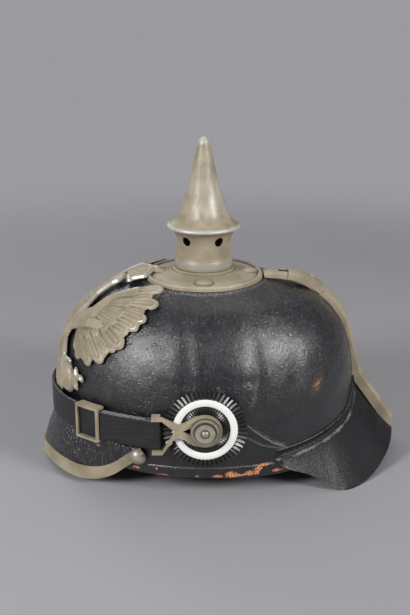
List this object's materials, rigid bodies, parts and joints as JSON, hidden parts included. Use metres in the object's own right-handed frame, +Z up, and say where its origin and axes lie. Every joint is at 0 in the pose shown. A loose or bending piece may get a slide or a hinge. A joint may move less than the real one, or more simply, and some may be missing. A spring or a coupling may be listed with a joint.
{
  "type": "pickelhaube",
  "caption": "Spiked leather parade and field helmet with eagle front plate, chin strap, side cockades and vented rear spine.",
  "frame": {"origin": "on the floor, below the spike's axis", "axes": "+Z up along the spike, -Y towards the front visor, +X towards the wearer's left"},
  "size_m": [0.206, 0.2824, 0.2495],
  "materials": {
    "black_leather": "waxed black leather, scuffed and finely crazed",
    "strap_leather": "black strap leather with grey worn edges",
    "liner_leather": "plain brown leather",
    "field_paint": "worn field grey paint over steel",
    "worn_steel": "field grey paint rubbed through to bare steel",
    "bare_steel": "tarnished bare steel",
    "cockade_paint": "black enamel with a white ring",
    "cord": "twisted linen cord"
  },
  "bodies": {
    "helmet": {"skull": "black_leather", "front_visor": "black_leather", "neck_guard": "black_leather", "visor_trim": "field_paint", "visor_trim_studs": "field_paint", "spike_base": "field_paint", "spike_base_studs": "field_paint", "spike_base_washers": "bare_steel", "spine": "field_paint", "spine_screw": "bare_steel", "spine_nut": "bare_steel", "cockade_left": "cockade_paint", "cockade_right": "cockade_paint", "side_post_left": "bare_steel", "side_post_right": "bare_steel", "side_post_washers": "bare_steel", "eagle_plate": "field_paint", "eagle_relief": "field_paint", "plate_loops": "bare_steel", "plate_wedges": "liner_leather", "liner": "liner_leather", "liner_drawstring": "cord"},
    "spike": {"spike_neck": "field_paint", "spike_cone": "worn_steel"},
    "vent_cover": {"vent_slide": "field_paint", "vent_slide_knob": "field_paint"},
    "strap": {"chin_strap": "strap_leather", "hook_left": "field_paint", "hook_right": "field_paint"},
    "strap_buckle_left": {"buckle_left": "field_paint"},
    "strap_buckle_right": {"buckle_right": "field_paint"}
  },
  "joints": [
    {"name": "spike_twist", "type": "hinge", "parent": "helmet", "child": "spike", "pos_m": [0, 0, 0.155], "axis": [0, 0, -1], "range_deg": [0, 40]},
    {"name": "vent_slide_travel", "type": "hinge", "parent": "helmet", "child": "vent_cover", "pos_m": [0, 0.055, 0.0863], "axis": [1, 0, 0], "range_deg": [0, 8.5]},
    {"name": "chin_strap_swing", "type": "hinge", "parent": "helmet", "child": "strap", "pos_m": [0, 0.001, 0.0558], "axis": [-1, 0, 0], "range_deg": [0, 50]},
    {"name": "buckle_left_slide", "type": "hinge", "parent": "strap", "child": "strap_buckle_left", "pos_m": [-0.0259, -0.01079, 0.052], "axis": [0, 0, 1], "range_deg": [0, 15]},
    {"name": "buckle_right_slide", "type": "hinge", "parent": "strap", "child": "strap_buckle_right", "pos_m": [0.0259, -0.01079, 0.052], "axis": [0, 0, -1], "range_deg": [0, 15]}
  ]
}
